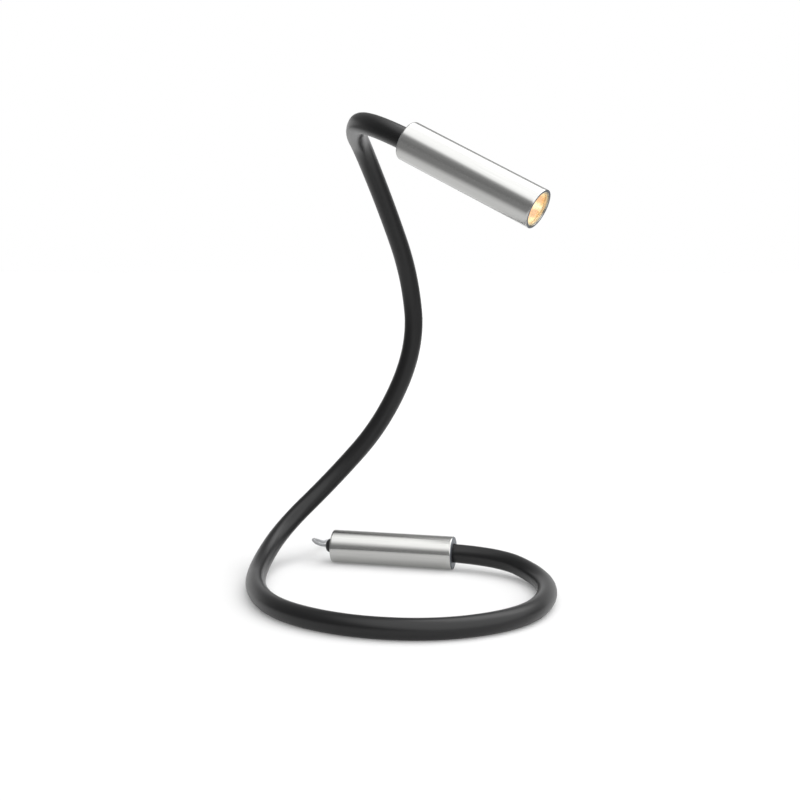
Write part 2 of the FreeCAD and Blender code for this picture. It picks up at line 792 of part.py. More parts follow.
def make_tie():
    """A flat tie round the coil's turns, on the side away from its ends."""
    clear = size("tie_clearance")
    strap = size("tie_thickness")
    inner_width = loop_spread + size("cord_diameter") + clear * 2
    inner_height = loop_step * (size("loop_layers") - 1) + size("cord_diameter") + size("tie_gap") * 2
    x = coil_centre.x + number("loop_inner") - cord_radius.number - clear.number
    y = coil_centre.y - number("tie_width") / 2
    outside = primitive("Part::Box", "tie_outside", at(x - strap.number, y, 0),
                        Length=inner_width + strap * 2, Width=size("tie_width"),
                        Height=inner_height + strap * 2)
    inside = primitive("Part::Box", "tie_inside", at(x, y, strap),
                       Length=inner_width, Width=size("tie_width"), Height=inner_height)
    keep("coil_tie", cut("coil_tie", outside, inside))


# In-line switch on the cord, with its own frame on the table
switch_centre = (switch_left + switch_right) * 0.5
switch_frame = at(switch_centre.x, switch_centre.y, 0)


def rounded_block(label, bottom, height):
    """A block of the switch's outline with rounded upright edges."""
    block = primitive("Part::Box", f"{label}_block",
                      at(size("switch_length") / -2, size("switch_width") / -2, bottom),
                      Length=size("switch_length"), Width=size("switch_width"), Height=height)
    doc.recompute()
    upright = [
        i for i, edge in enumerate(block.Shape.Edges, start=1)
        if edge.BoundBox.XLength < 1e-6 and edge.BoundBox.YLength < 1e-6
    ]
    piece = doc.addObject("Part::Fillet", f"{label}_rounded")
    piece.Base = block
    rounding = number("switch_round")
    piece.Edges = [(i, rounding, rounding) for i in upright]
    doc.recompute()
    return piece


def centred_box(label, length, width, bottom, height, x=0.0, y=0.0):
    """A box centred on a point of the switch's own plan."""
    corner = at(number_of(x) - length.number / 2, number_of(y) - width.number / 2, bottom)
    return primitive("Part::Box", label, corner, Length=length, Width=width, Height=height)


def make_switch():
    """A slide switch in the cord: base and cover shells, the slider and two contact strips."""
    wall = size("switch_wall")
    half = size("switch_height") / 2
    room_length = size("switch_length") - size("switch_end_wall") * 2
    room_width = size("switch_width") - wall * 2
    base_room = centred_box("base_room", room_length, room_width, wall, half)
    keep("switch_base", cut("switch_base", rounded_block("switch_base", 0, half), base_room), switch_frame)

    roof = size("switch_height") - wall
    slot_length = size("slider_length") + size("slider_travel") + size("slider_clearance") * 2
    slot_width = size("slider_width") + size("slider_clearance") * 2
    cover_room = centred_box("cover_room", room_length, room_width, half, half - wall)
    hollow = cut("cover_hollow", rounded_block("switch_cover", half, half), cover_room)
    slot = centred_box("cover_slot", slot_length, slot_width, roof, wall * 2)
    keep("switch_cover", cut("switch_cover", hollow, slot), switch_frame)

    rest = size("slider_travel") / 2
    foot_top = roof - size("slider_clearance")
    foot_bottom = foot_top - size("slider_foot_thickness")
    foot = centred_box("slider_foot", size("slider_length") + size("slider_foot") * 2,
                       size("slider_width") + size("slider_foot"), foot_bottom,
                       size("slider_foot_thickness"), rest)
    thumb_height = size("switch_height") + size("slider_proud") - foot_top
    thumb = centred_box("slider_thumb", size("slider_length"), size("slider_width"),
                        foot_top, thumb_height, rest)
    slider = doc.addObject("Part::Fuse", "switch_slider")
    slider.Base = foot
    slider.Tool = thumb
    doc.recompute()
    keep("switch_slider", slider, switch_frame)

    strips = [
        centred_box(f"contact{i}", size("contact_length"), size("contact_width"), wall,
                    size("contact_thickness"), 0.0, size("contact_spacing") * (i - 0.5))
        for i in range(2)
    ]
    bunch("switch_contacts", strips, switch_frame)


def make_plug(frame):
    """A barrel plug: moulded body, nickel sleeve and the insulator that lines it."""
    body = size("plug_diameter") / 2
    tail = size("plug_tail_diameter") / 2
    pin = size("plug_pin_diameter") / 2
    pin_bore = pin - size("plug_pin_wall")
    taper = size("plug_taper")
    mouth = size("plug_length")
    seat = mouth - size("plug_pin_seat")
    tip = mouth + size("plug_pin_length")
    turned("plug_body", frame, [
        (0, 0), (0, tail), (taper, body), (mouth, body), (mouth, pin), (seat, pin), (seat, 0)])
    turned("plug_sleeve", frame, [(seat, pin_bore), (seat, pin), (tip, pin), (tip, pin_bore)])
    socket = size("plug_socket") / 2
    turned("plug_insulator", frame, [(seat, socket), (seat, pin_bore), (tip, pin_bore), (tip, socket)])


def make_cord():
    """The whole cord with the switch, the coil's tie and the plug on it."""
    coil_in, in_direction, coil_out, out_direction = make_coil()
    make_cord_stretch("supply_cord", [
        gland_exit, gland_exit + housing_axis * GLAND_RUN,
        *[Vector(*point) for point in SUPPLY_POINTS],
        switch_left - Vector(SWITCH_RUN_IN, 0, 0), switch_left])
    make_cord_stretch("link_cord", [
        switch_right, switch_right + Vector(SWITCH_RUN_OUT, 0, 0),
        *[Vector(*point) for point in LINK_POINTS],
        coil_in - in_direction * COIL_RUN_IN, coil_in])
    make_cord_stretch("plug_cord", [
        coil_out, coil_out + out_direction * COIL_RUN_OUT,
        *[Vector(*point) for point in PLUG_POINTS],
        plug_start - plug_axis * PLUG_RUN, plug_start])
    make_tie()
    make_switch()
    make_plug(frame_along(plug_start, plug_axis))


def check_and_write():
    """Every object is sound and every piece is valid before any file is written."""
    doc.recompute()
    for piece in doc.Objects:
        if "Invalid" in piece.State or "Error" in piece.State:
            raise ValueError(f"{piece.Label} failed: {piece.State}")
    for label, piece in nodes.items():
        shape = piece.Shape
        if shape.isNull() or not shape.isValid() or not shape.Solids:
            raise ValueError(f"{label} is not a sound solid")
    os.makedirs("parts", exist_ok=True)
    for label, piece in nodes.items():
        piece.Shape.exportStep(f"parts/{label}.step")
    print(len(nodes), "pieces written")


make_hose()
make_head()
make_housing()
make_cord()
check_and_write()
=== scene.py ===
# %% [markdown]
# # A flexible LED table lamp
# The lamp is one long rubber hose over a steel gooseneck. It lies on the table as an open loop, rises as
# the neck and carries a spot head in a brushed tube. Its other end holds a second tube with the driver and
# the cord. The measured parts come from the frame. This lesson gives them their finish and remakes the
# parts whose surface shows: the hose, the two tubes, the reflector, the gland, the cord and what is on it.

# %% Load the frame
import math

import bpy
from mathutils import Matrix, Vector


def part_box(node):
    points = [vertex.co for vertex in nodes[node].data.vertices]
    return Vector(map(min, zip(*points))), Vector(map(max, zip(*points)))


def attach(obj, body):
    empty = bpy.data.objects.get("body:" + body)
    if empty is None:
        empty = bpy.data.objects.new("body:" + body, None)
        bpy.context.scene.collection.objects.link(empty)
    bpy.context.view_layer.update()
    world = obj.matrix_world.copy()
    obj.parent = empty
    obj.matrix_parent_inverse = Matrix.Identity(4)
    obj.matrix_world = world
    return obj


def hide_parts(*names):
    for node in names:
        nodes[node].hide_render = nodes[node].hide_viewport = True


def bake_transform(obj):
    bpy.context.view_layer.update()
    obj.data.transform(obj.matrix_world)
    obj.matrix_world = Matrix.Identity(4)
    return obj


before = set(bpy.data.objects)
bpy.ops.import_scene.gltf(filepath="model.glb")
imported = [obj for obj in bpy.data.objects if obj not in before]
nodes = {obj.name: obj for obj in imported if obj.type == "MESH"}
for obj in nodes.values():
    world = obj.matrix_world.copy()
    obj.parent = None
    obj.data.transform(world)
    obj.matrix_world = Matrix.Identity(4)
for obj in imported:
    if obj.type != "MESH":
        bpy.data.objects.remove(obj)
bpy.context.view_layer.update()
MM = 0.001
bpy.ops.object.select_all(action="DESELECT")

# %% [markdown]
# ## Camera
# The photograph was taken from a little above the lamp, about a metre away, with a longer lens than the
# eye. The lens is worked out from the image: 1200 pixels of focal length on an image of 800 pixels.

# %% Set the camera
FOCAL_PIXELS = 1200
IMAGE_PIXELS = 800
SENSOR = 36.0
CAMERA_PLACE = (0.0015, -1.056, 0.296)
CAMERA_FALL = math.radians(6.6)

camera_data = bpy.data.cameras.new("camera")
camera_data.sensor_width = SENSOR
camera_data.lens = SENSOR * FOCAL_PIXELS / IMAGE_PIXELS
camera = bpy.data.objects.new("camera", camera_data)
camera.location = CAMERA_PLACE
camera.rotation_euler = (math.pi / 2 - CAMERA_FALL, 0, 0)
bpy.context.scene.collection.objects.link(camera)
bpy.context.scene.camera = camera
print("lens:", camera_data.lens, "mm")

# %% [markdown]
# ## Where the two tubes stand
# The driver housing lies on the table, turned a little. The head points down and to the right. Each gets a
# frame: its own Z runs along the tube from the hose's end, and its own X points to the side with the grub
# screws, which is turned away from the viewer.

# %% Give the housing and the head their frames
HOUSING_END = Vector((0.0535, 0.078, 0.016))
HOUSING_TURN = math.radians(14.4)
HEAD_BACK = Vector((0.0075, -0.088, 0.391))
HEAD_TURN = math.radians(28)
HEAD_DROP = math.radians(26.7)
UP = Vector((0, 0, 1))

housing_axis = Vector((-math.cos(HOUSING_TURN), math.sin(HOUSING_TURN), 0))
head_axis = Vector((
    math.cos(HEAD_DROP) * math.cos(HEAD_TURN),
    -math.cos(HEAD_DROP) * math.sin(HEAD_TURN),
    -math.sin(HEAD_DROP),
))


def frame_along(origin, axis, side):
    """A frame with Z along an axis and X to one side."""
    x = side.normalized()
    y = axis.cross(x)
    turn = Matrix((x, y, axis)).transposed()
    return Matrix.Translation(origin) @ turn.to_4x4()


housing_frame = frame_along(HOUSING_END, housing_axis, housing_axis.cross(UP))
head_frame = frame_along(HEAD_BACK, head_axis, UP.cross(head_axis))
print("housing side:", housing_frame.col[0][:], "head side:", head_frame.col[0][:])

# %% [markdown]
# ## Colours and shader nodes
# A colour on a screen is stored with a curve, and a shader needs it without one. One function undoes the
# curve, so that colours can be written as the hex values that a paint chart gives. A second one adds a
# shader node, sets it and links it, and a third starts a material from its colour, metalness and roughness.

# %% Write colour and node helpers
def colour(code):
    """An sRGB hex value such as c8c9ca as linear red, green, blue and alpha."""
    shares = [int(code[i:i + 2], 16) / 255 for i in (0, 2, 4)]
    linear = [s / 12.92 if s <= 0.04045 else ((s + 0.055) / 1.055) ** 2.4 for s in shares]
    return (*linear, 1.0)


def add(tree, kind, inputs=None, **settings):
    """Adds a node with its settings, and links or sets its inputs."""
    made = tree.nodes.new(kind)
    for name, value in settings.items():
        setattr(made, name, value)
    for socket, value in (inputs or {}).items():
        if isinstance(value, bpy.types.NodeSocket):
            tree.links.new(value, made.inputs[socket])
        else:
            made.inputs[socket].default_value = value
    return made


def start_material(name, code, metallic, roughness):
    """A material, its tree and its shader."""
    made = bpy.data.materials.new(name)
    made.use_nodes = True
    shader = made.node_tree.nodes["Principled BSDF"]
    shader.inputs["Base Color"].default_value = colour(code)
    shader.inputs["Metallic"].default_value = metallic
    shader.inputs["Roughness"].default_value = roughness
    return made, made.node_tree, shader


# %% [markdown]
# A real surface is never quite even. Here its colour, its roughness and its height follow one pattern, so
# that a darker spot is also a duller one. Most finishes take a fine noise as their pattern. Its grains have
# a real size and it uses the object's own coordinates, so it stays with the piece.

# %% Write finish helpers
GRAIN_DETAIL = 3.0
GRAIN_ROUGHNESS = 0.6
GRAIN_STRENGTH = 0.6


def noise_of(tree, grain_mm, detail, roughness=0.5):
    """A noise whose grains have a real size."""
    place = add(tree, "ShaderNodeTexCoord")
    noise = add(tree, "ShaderNodeTexNoise", {
        "Vector": place.outputs["Object"], "Scale": 1 / (grain_mm * MM), "Detail": detail,
        "Roughness": roughness})
    return noise.outputs["Fac"]


def tone_of(tree, pattern, first_code, second_code):
    """A colour that goes from one hex value to another with a pattern."""
    tone = add(tree, "ShaderNodeMix", {
        "Factor": pattern, "A": colour(first_code), "B": colour(second_code)}, data_type="RGBA")
    return tone.outputs["Result"]


def follow(tree, shader, pattern, codes, roughness, strength, depth_mm):
    """Lets a shader's colour, roughness and height follow one pattern."""
    rough = add(tree, "ShaderNodeMapRange", {
        "Value": pattern, "To Min": roughness[0], "To Max": roughness[1]})
    bump = add(tree, "ShaderNodeBump", {
        "Height": pattern, "Strength": strength, "Distance": depth_mm * MM})
    tree.links.new(tone_of(tree, pattern, *codes), shader.inputs["Base Color"])
    tree.links.new(rough.outputs["Result"], shader.inputs["Roughness"])
    tree.links.new(bump.outputs["Normal"], shader.inputs["Normal"])


def grained(name, code, dark_code, metallic, roughness, grain_mm, bump_mm, spread=0.08, ior=None):
    """A finish with a fine grain."""
    made, tree, shader = start_material(name, code, metallic, roughness)
    grain = noise_of(tree, grain_mm, GRAIN_DETAIL, GRAIN_ROUGHNESS)
    limits = (roughness - spread, roughness + spread)
    follow(tree, shader, grain, (code, dark_code), limits, GRAIN_STRENGTH, bump_mm)
    if ior:
        shader.inputs["IOR"].default_value = ior
    return made


# %% [markdown]
# ## Supply cord
# The cord is a thin low-voltage lead in pale grey PVC. It leaves the housing's gland, falls to the table
# and turns back behind the housing, where a slide switch, a tied coil and the plug lie out of sight. A cord
# is one smooth line, so it is one spline with the route's points as its control points, and the coil's
# loops are more points of the same spline, worked out turn by turn.

# %% Write the cord's route
CORD_RADIUS = 0.0015
GLAND_TIP = 0.129
GLAND_RUN = 0.006
COIL_CENTRE = Vector((0.008, 0.149, 0))
LOOP_INNER = 0.016
LOOP_STEP = 0.0036
TURNS_PER_LAYER = 5.25
LAYERS = 2
COIL_BOTTOM = 0.002
SWITCH_LENGTH = 0.038
SWITCH_HEIGHT = 0.009
SWITCH_LEFT_X = -0.060
PLUG_START = Vector((-0.036, 0.136, 0.00475))
PLUG_TURN = math.radians(60)

coil_outer = LOOP_INNER + LOOP_STEP * TURNS_PER_LAYER
gland_exit = HOUSING_END + housing_axis * GLAND_TIP
switch_y = COIL_CENTRE.y + coil_outer
switch_middle = SWITCH_HEIGHT / 2
plug_axis = Vector((-math.cos(PLUG_TURN), math.sin(PLUG_TURN), 0))

SUPPLY_POINTS = [
    (-0.083, 0.1165, 0.0175), (-0.086, 0.1255, 0.018), (-0.0855, 0.136, 0.016), (-0.083, 0.146, 0.0128),
    (-0.080, 0.156, 0.0092), (-0.078, 0.1655, 0.0062), (-0.076, 0.175, 0.0046),
    (-0.071, switch_y, switch_middle),
]
SWITCH_POINTS = [(x, switch_y, switch_middle) for x in (SWITCH_LEFT_X, SWITCH_LEFT_X + SWITCH_LENGTH)]
LINK_POINTS = [
    (-0.0155, switch_y, switch_middle), (-0.0085, 0.1849, 0.0032), (-0.001, switch_y, COIL_BOTTOM),
]
PLUG_POINTS = [(-0.0105, 0.1153, 0.0053), (-0.0185, 0.1186, 0.005), (-0.026, 0.1233, 0.0048)]
print("coil:", LAYERS * TURNS_PER_LAYER, "turns, outer radius", round(coil_outer, 4), "m")

# %% Lay the cord
CLIMB_TURN = 0.5
POINTS_PER_TURN = 20
COIL_RUN = Vector((0.003, 0, 0))
COIL_RUN_OUT = Vector((0.007, 0, 0))
PLUG_RUN = 0.008
CORD_STEPS = 6


def smooth_step(share):
    """Rises from 0 to 1 with level ends."""
    share = min(max(share, 0.0), 1.0)
    return share * share * (3 - 2 * share)


def coil_point(turn):
    """A point of the coil, which spirals in, climbs a layer and spirals out."""
    inward = turn if turn <= TURNS_PER_LAYER else LAYERS * TURNS_PER_LAYER - turn
    radius = coil_outer - LOOP_STEP * inward
    climb = smooth_step((turn - TURNS_PER_LAYER) / CLIMB_TURN + 0.5)
    angle = math.pi / 2 - 2 * math.pi * turn
    height = COIL_BOTTOM + LOOP_STEP * climb
    return COIL_CENTRE + Vector((radius * math.cos(angle), radius * math.sin(angle), height))


def nurbs_line(name, points, steps, radius):
    """A curve of one smooth open spline with these control points, which all have the tube's radius."""
    curve = bpy.data.curves.new(name, "CURVE")
    curve.dimensions = "3D"
    curve.resolution_u = steps
    spline = curve.splines.new("NURBS")
    spline.points.add(len(points) - 1)
    for knot, point in zip(spline.points, points):
        knot.co = (*point, 1.0)
        knot.radius = radius
    spline.order_u = 3
    spline.use_endpoint_u = True
    line = bpy.data.objects.new(name, curve)
    bpy.context.scene.collection.objects.link(line)
    return line


coil_turns = LAYERS * TURNS_PER_LAYER
coil_steps = round(coil_turns * POINTS_PER_TURN)
coil = [coil_point(coil_turns * i / coil_steps) for i in range(coil_steps + 1)]
coil_out = coil[-1] - COIL_RUN
cord_points = [
    gland_exit, gland_exit + housing_axis * GLAND_RUN, *SUPPLY_POINTS, *SWITCH_POINTS, *LINK_POINTS,
    coil[0] - COIL_RUN, *coil, coil_out, coil_out - COIL_RUN_OUT, *PLUG_POINTS,
    PLUG_START - plug_axis * PLUG_RUN, PLUG_START,
]
cord = nurbs_line("cord", cord_points, CORD_STEPS, CORD_RADIUS)
# the points carry the cord's radius, so the section is a circle of one
cord.data.bevel_depth = 1.0
cord.data.bevel_resolution = 4
cord.data.use_fill_caps = True
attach(cord, "base")
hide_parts("supply_cord", "link_cord", "cord_coil", "plug_cord")
print("cord points:", len(cord_points))

# %% [markdown]
# The lead's jacket is soft extruded PVC. It is pale grey, with a soft gloss.

# %% Finish the cord
pvc = grained("extruded_grey_pvc", "a3a4a6", "959698", 0.0, 0.5, grain_mm=3.0, bump_mm=0.01, ior=1.53)
cord.data.materials.append(pvc)
print("made", pvc.name)

# %% [markdown]
# ## Rubber of the hose
# The sheath is extruded vulcanised rubber. It is black and satin: its highlights are broad and grey, and a
# faint bloom makes some patches a little duller than others. The grain of the rubber is finer than a pixel,
# so it is drawn at about a millimetre. The gooseneck inside is wound from spring steel, grey and dull.

# %% Make the rubber and the steel
rubber = grained(
    "extruded_vulcanised_rubber", "070708", "0d0d0e", 0.0, 0.34, grain_mm=1.2, bump_mm=0.01, spread=0.05,
    ior=1.42)
steel_core = grained("wound_spring_steel", "8b8d90", "6d6f72", 1.0, 0.38, grain_mm=0.8, bump_mm=0.03)
print("made", rubber.name, "and", steel_core.name)

# %% [markdown]
# ## Hose
# The hose follows one smooth line from inside the housing, round the foot and up the neck into the head.
# The line is a spline with the route's corners as control points. It gets a round section and becomes a
# mesh, and the mesh is split where the frame's joints begin to bend. The gooseneck inside is made the
# same way.

# %% Lay the hose's line
FLOOR_HEIGHT = 0.0085
HOSE_GRIP = 0.016
HOUSING_RUN = 0.043
HEAD_RUN = 0.045
HOSE_STEPS = 19

FOOT_POINTS = [
    (0.131, 0.018), (0.131, -0.048), (0.103, -0.109), (0.036, -0.143),
    (-0.038, -0.134), (-0.099, -0.091), (-0.127, -0.028), (-0.133, 0.053),
]
NECK_POINTS = [
    (-0.116, 0.120, 0.031), (-0.067, 0.145, 0.076), (-0.015, 0.145, 0.135), (0.018, 0.147, 0.212),
    (0.011, 0.140, 0.283), (-0.011, 0.109, 0.346), (-0.033, 0.065, 0.400), (-0.0385, 0.014, 0.4085),
]
hose_points = [HOUSING_END + housing_axis * HOSE_GRIP, HOUSING_END - housing_axis * HOUSING_RUN]
hose_points += [(x, y, FLOOR_HEIGHT) for x, y in FOOT_POINTS]
hose_points += NECK_POINTS
hose_points += [HEAD_BACK - head_axis * HEAD_RUN, HEAD_BACK + head_axis * HOSE_GRIP]


def line_points(line):
    """The points that a curve without a section gives."""
    mesh = bpy.data.meshes.new_from_object(line)
    points = [vertex.co.copy() for vertex in mesh.vertices]
    bpy.data.meshes.remove(mesh)
    return points


# with 19 steps the line's points fall on the ends and the middle of each bend, where it can be split
hose_line = nurbs_line("hose_line", hose_points, HOSE_STEPS, 1.0)
hose_middle = line_points(hose_line)
run_rings = (len(hose_middle) - 1) // (len(hose_points) - 2)
print("hose line:", len(hose_middle), "points,", run_rings, "from one run to the next")

# %% [markdown]
# Operators work on whatever is selected, so each step first clears the selection. A modifier is applied as
# soon as it is set. A finished piece is dressed: it gets its material and the body that it moves with, and
# the measured parts that it stands for are hidden.

# %% Write selecting and finishing helpers
def only(piece):
    """Makes a piece the only one that is selected, and the active one."""
    bpy.ops.object.select_all(action="DESELECT")
    piece.select_set(True)
    bpy.context.view_layer.objects.active = piece


def choose(piece, kind, test):
    """Enters edit mode with only the corners, edges or faces selected that pass a test."""
    only(piece)
    bpy.ops.object.mode_set(mode="EDIT")
    bpy.ops.mesh.select_mode(type=kind)
    bpy.ops.mesh.select_all(action="DESELECT")
    bpy.ops.object.mode_set(mode="OBJECT")
    mesh = piece.data
    for element in {"VERT": mesh.vertices, "EDGE": mesh.edges, "FACE": mesh.polygons}[kind]:
        element.select = test(element)
    bpy.ops.object.mode_set(mode="EDIT")


def finish_with(piece, kind, **settings):
    """Adds a modifier with its settings and applies it."""
    only(piece)
    modifier = piece.modifiers.new(kind.title(), kind)
    for name, value in settings.items():
        setattr(modifier, name, value)
    bpy.ops.object.modifier_apply(modifier=modifier.name)


def smooth(piece, angle=35):
    """Shades a piece smooth, apart from its sharp edges."""
    only(piece)
    bpy.ops.object.shade_smooth_by_angle(angle=math.radians(angle))


def dress(piece, finish, slot, body, *replaced):
    """Gives a piece its finish and its body, and hides the nodes that it stands for."""
    piece.data.materials.clear()
    piece.data.materials.append(finish)
    if body:
        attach(piece, body)
    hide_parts(*replaced)


# %% [markdown]
# A stretch is a copy of some of the tube's rings. It gets a wall, because rubber hose and gooseneck are
# hollow, and it is pressed flat where its weight rests on the table.

# %% Write hose helpers
def tube_along(line, radius, roundness):
    """A tube of rings round the hose's line, as a mesh."""
    tube = line.copy()
    tube.data = line.data.copy()
    tube.data.bevel_depth = radius
    tube.data.bevel_resolution = roundness
    bpy.context.scene.collection.objects.link(tube)
    only(tube)
    bpy.ops.object.convert(target="MESH")
    return bpy.context.active_object


def stretch_of(tube, name, first_ring, last_ring, wall):
    """A copy of the rings from first to last, with a wall, pressed flat where it lies on the table."""
    sides = len(tube.data.vertices) // len(hose_middle)
    piece = tube.copy()
    piece.data = tube.data.copy()
    piece.name = name
    piece.data.name = name
    bpy.context.scene.collection.objects.link(piece)
    choose(piece, "VERT", lambda vertex: not first_ring <= vertex.index // sides <= last_ring)
    bpy.ops.mesh.delete(type="VERT")
    bpy.ops.mesh.select_all(action="SELECT")
    bpy.ops.mesh.normals_make_consistent(inside=False)
    bpy.ops.object.mode_set(mode="OBJECT")
    finish_with(piece, "SOLIDIFY", thickness=wall, offset=-1.0)
    for vertex in piece.data.vertices:
        vertex.co.z = max(vertex.co.z, 0.0)
    smooth(piece, 50)
    return piece


def ring_at(place):
    """The number of the ring at a place along the line."""
    return round(place * run_rings)


# %% Split the hose into stretches
# name, where the stretch starts, bends from and ends, bodies before and after, sheath nodes, core nodes.
# Places are counted in bends along the line: corner 3 bends from 2 to 3, with its joint at 2.5.
STRETCHES = [
    ("foot_rear", 0, 1.5, 3.5, "base", "coil", ["coil_rear", "coil_bend"], ["coil_rear"]),
    ("foot_front", 3.5, 7.5, 9.5, "coil", "neck_root", ["coil_front", "swing_bend"], ["coil_front"]),
    ("neck_root", 9.5, 9.5, 11.5, "neck_root", "neck_lower", ["neck_root", "lean_bend"], ["neck_root"]),
    ("neck_lower", 11.5, 11.5, 13.5, "neck_lower", "neck_upper", ["neck_lower", "bow_bend"], ["neck_lower"]),
    ("neck_upper", 13.5, 13.5, 15.5, "neck_upper", "neck_crook", ["neck_upper", "nod_bend"], ["neck_upper"]),
    ("neck_crook", 15.5, 16, 17, "neck_crook", "neck_end", ["neck_crook", "turn_bend"], ["neck_crook"]),
    ("neck_tip", 17, 17, 18, "neck_end", "head", ["tilt_bend"], ["turn_bend", "tilt_bend"]),
]
HOSE_RADIUS = 0.009
HOSE_WALL = 0.0028
CORE_RADIUS = 0.006
CORE_WALL = 0.0025


def make_hose(kind, radius, roundness, wall, finish, slot, column, suffix):
    """All the stretches of the sheath or of the core."""
    tube = tube_along(hose_line, radius, roundness)
    for row in STRETCHES:
        name, first, bend, last, before, after = row[:6]
        piece = stretch_of(tube, f"{name}_{kind}", ring_at(first), ring_at(last), wall)
        dress(piece, finish, slot, None, *[f"{node}_{suffix}" for node in row[column]])
        # the head's tube grips the hose, so its last bend ends just before the tube
        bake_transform(piece)
        print(piece.name, len(piece.data.polygons), "faces")
    bpy.data.objects.remove(tube)


make_hose("hose", HOSE_RADIUS, 10, HOSE_WALL, rubber, "black_rubber", 6, "sheath")
make_hose("gooseneck", CORE_RADIUS, 4, CORE_WALL, steel_core, "gooseneck_steel", 7, "core")
bpy.data.objects.remove(hose_line)

# %% [markdown]
# ## Brushed tubes
# Both barrels are drawn aluminium tube, brushed along its length. The brush leaves fine lengthwise
# scratches, which spread a reflection round the tube and leave it sharp along it, so soft bright and dark
# bands run from end to end. The scratches are about a tenth of a millimetre wide. That is finer than a pixel
# here, so they are drawn at half a millimetre. A mapping turns the pattern so that it lies along each tube.
# The housing is brushed a little duller than the head. The cut ends are duller, and their darker grey is
# painted shade.

# %% Make the brushed aluminium
SCRATCH_MM = 0.5
SCRATCH_LENGTH_MM = 60
SCRATCH_STRENGTH = 0.25
SCRATCH_DEPTH_MM = 0.02


def seen_from(tree, place):
    """The object's coordinates, measured in a frame."""
    where = add(tree, "ShaderNodeTexCoord")
    local = add(tree, "ShaderNodeMapping", {
        "Vector": where.outputs["Object"], "Location": place.to_translation(),
        "Rotation": place.to_euler()}, vector_type="TEXTURE")
    return local.outputs["Vector"]


def brushed_aluminium(name, place, codes, roughness):
    """Aluminium brushed along a frame's Z axis."""
    made, tree, shader = start_material(name, codes[0], 1.0, roughness[0])
    across, lengthwise = 1 / (SCRATCH_MM * MM), 1 / (SCRATCH_LENGTH_MM * MM)
    drawn = add(tree, "ShaderNodeVectorMath", {
        0: seen_from(tree, place), 1: (across, across, lengthwise)}, operation="MULTIPLY")
    scratch = add(tree, "ShaderNodeTexNoise", {
        "Vector": drawn.outputs["Vector"], "Scale": 1.0, "Detail": 4.0, "Roughness": 0.65})
    follow(tree, shader, scratch.outputs["Fac"], codes, roughness, SCRATCH_STRENGTH, SCRATCH_DEPTH_MM)
    return made


head_aluminium = brushed_aluminium(
    "brushed_aluminium_head", head_frame, ("c4c4c2", "a6a6a5"), (0.14, 0.28))
housing_aluminium = brushed_aluminium(
    "brushed_aluminium_housing", housing_frame, ("c4c4c2", "a4a4a2"), (0.17, 0.3))
# the tube ends' darker grey is painted shade; their higher roughness is their duller finish
tube_end_shade = grained("aluminium_end_painted_shade", "7d8186", "6c7075", 1.0, 0.5, grain_mm=0.4, bump_mm=0.02)
print("made", head_aluminium.name, housing_aluminium.name, "and", tube_end_shade.name)

# %% [markdown]
# Turned parts are made as on a lathe: a circle is added and extruded ring by ring along its axis, and each
# ring is scaled to its radius. The finished part is then stood in its frame and its place is applied, so
# that its object stays at the origin.

# %% Write turning helpers
def named(name):
    """Names the primitive that was just added."""
    piece = bpy.context.active_object
    piece.name = name
    piece.data.name = name
    return piece


def turned(name, rings, sides=96, closed=False):
    """A part turned about Z from distances and radii. A closed outline joins its end to its start."""
    bpy.ops.object.select_all(action="DESELECT")
    along, radius = rings[0]
    bpy.ops.mesh.primitive_circle_add(vertices=sides, radius=radius, location=(0, 0, 0))
    piece = named(name)
    bpy.ops.object.mode_set(mode="EDIT")
    bpy.ops.mesh.select_all(action="SELECT")
    bpy.ops.transform.translate(value=(0, 0, along))
    for next_along, next_radius in rings[1:]:
        bpy.ops.mesh.extrude_region_move(TRANSFORM_OT_translate={"value": (0, 0, next_along - along)})
        share = next_radius / radius
        bpy.ops.transform.resize(value=(share, share, 1))
        along, radius = next_along, next_radius
    bpy.ops.mesh.select_all(action="SELECT")
    if closed:
        bpy.ops.mesh.remove_doubles(threshold=1e-6)
    bpy.ops.mesh.normals_make_consistent(inside=False)
    bpy.ops.object.mode_set(mode="OBJECT")
    return piece


def stand(piece, place):
    """Puts a piece into its frame and applies that to its mesh."""
    only(piece)
    piece.matrix_world = place
    bpy.ops.object.transform_apply(location=True, rotation=True, scale=True)


# %% Write edge and cutting helpers
NEAR = 1e-5


def bevel_edges(piece, test, width, segments):
    """Rounds the edges whose two ends pass a test."""
    corners = piece.data.vertices
    choose(piece, "EDGE", lambda edge: test(*[corners[i].co for i in edge.vertices]))
    bpy.ops.mesh.bevel(offset=width, segments=segments, profile=0.5, affect="EDGES")
    bpy.ops.object.mode_set(mode="OBJECT")


def on_ring(along, radius):
    """A test for edges on the ring at a distance along Z."""
    def meets(co):
        return abs(co.z - along) < NEAR and abs(math.hypot(co.x, co.y) - radius) < NEAR
    return lambda one, two: meets(one) and meets(two)


def cut_out(piece, cutter):
    """Cuts one piece from another and removes the cutter."""
    finish_with(piece, "BOOLEAN", operation="DIFFERENCE", solver="EXACT", object=cutter)
    bpy.data.objects.remove(cutter)


# %% [markdown]
# Each barrel is turned as a closed outline: the end wall with its hole for the hose, the long outside, the
# rim and the bore. The end at the hose has a soft round edge and the others are only broken. A ring near
# each end keeps the shading of the long sides straight. Small holes on the far side take the grub screws,
# and a boolean cut drills them.

# %% Turn the two barrels
BARREL_RADIUS = 0.016
HEAD_LENGTH = 0.125
HOUSING_LENGTH = 0.121
BARREL_WALL = 0.002
END_WALL = 0.004
HOSE_HOLE = 0.00915
EDGE_ROUND = 0.0015
EDGE_BREAK = 0.0003
SUPPORT = 0.002
GRUB_HOLE = 0.00215
HEAD_SCREWS = (0.010, 0.0884)
HOUSING_SCREWS = (0.010, 0.1185)


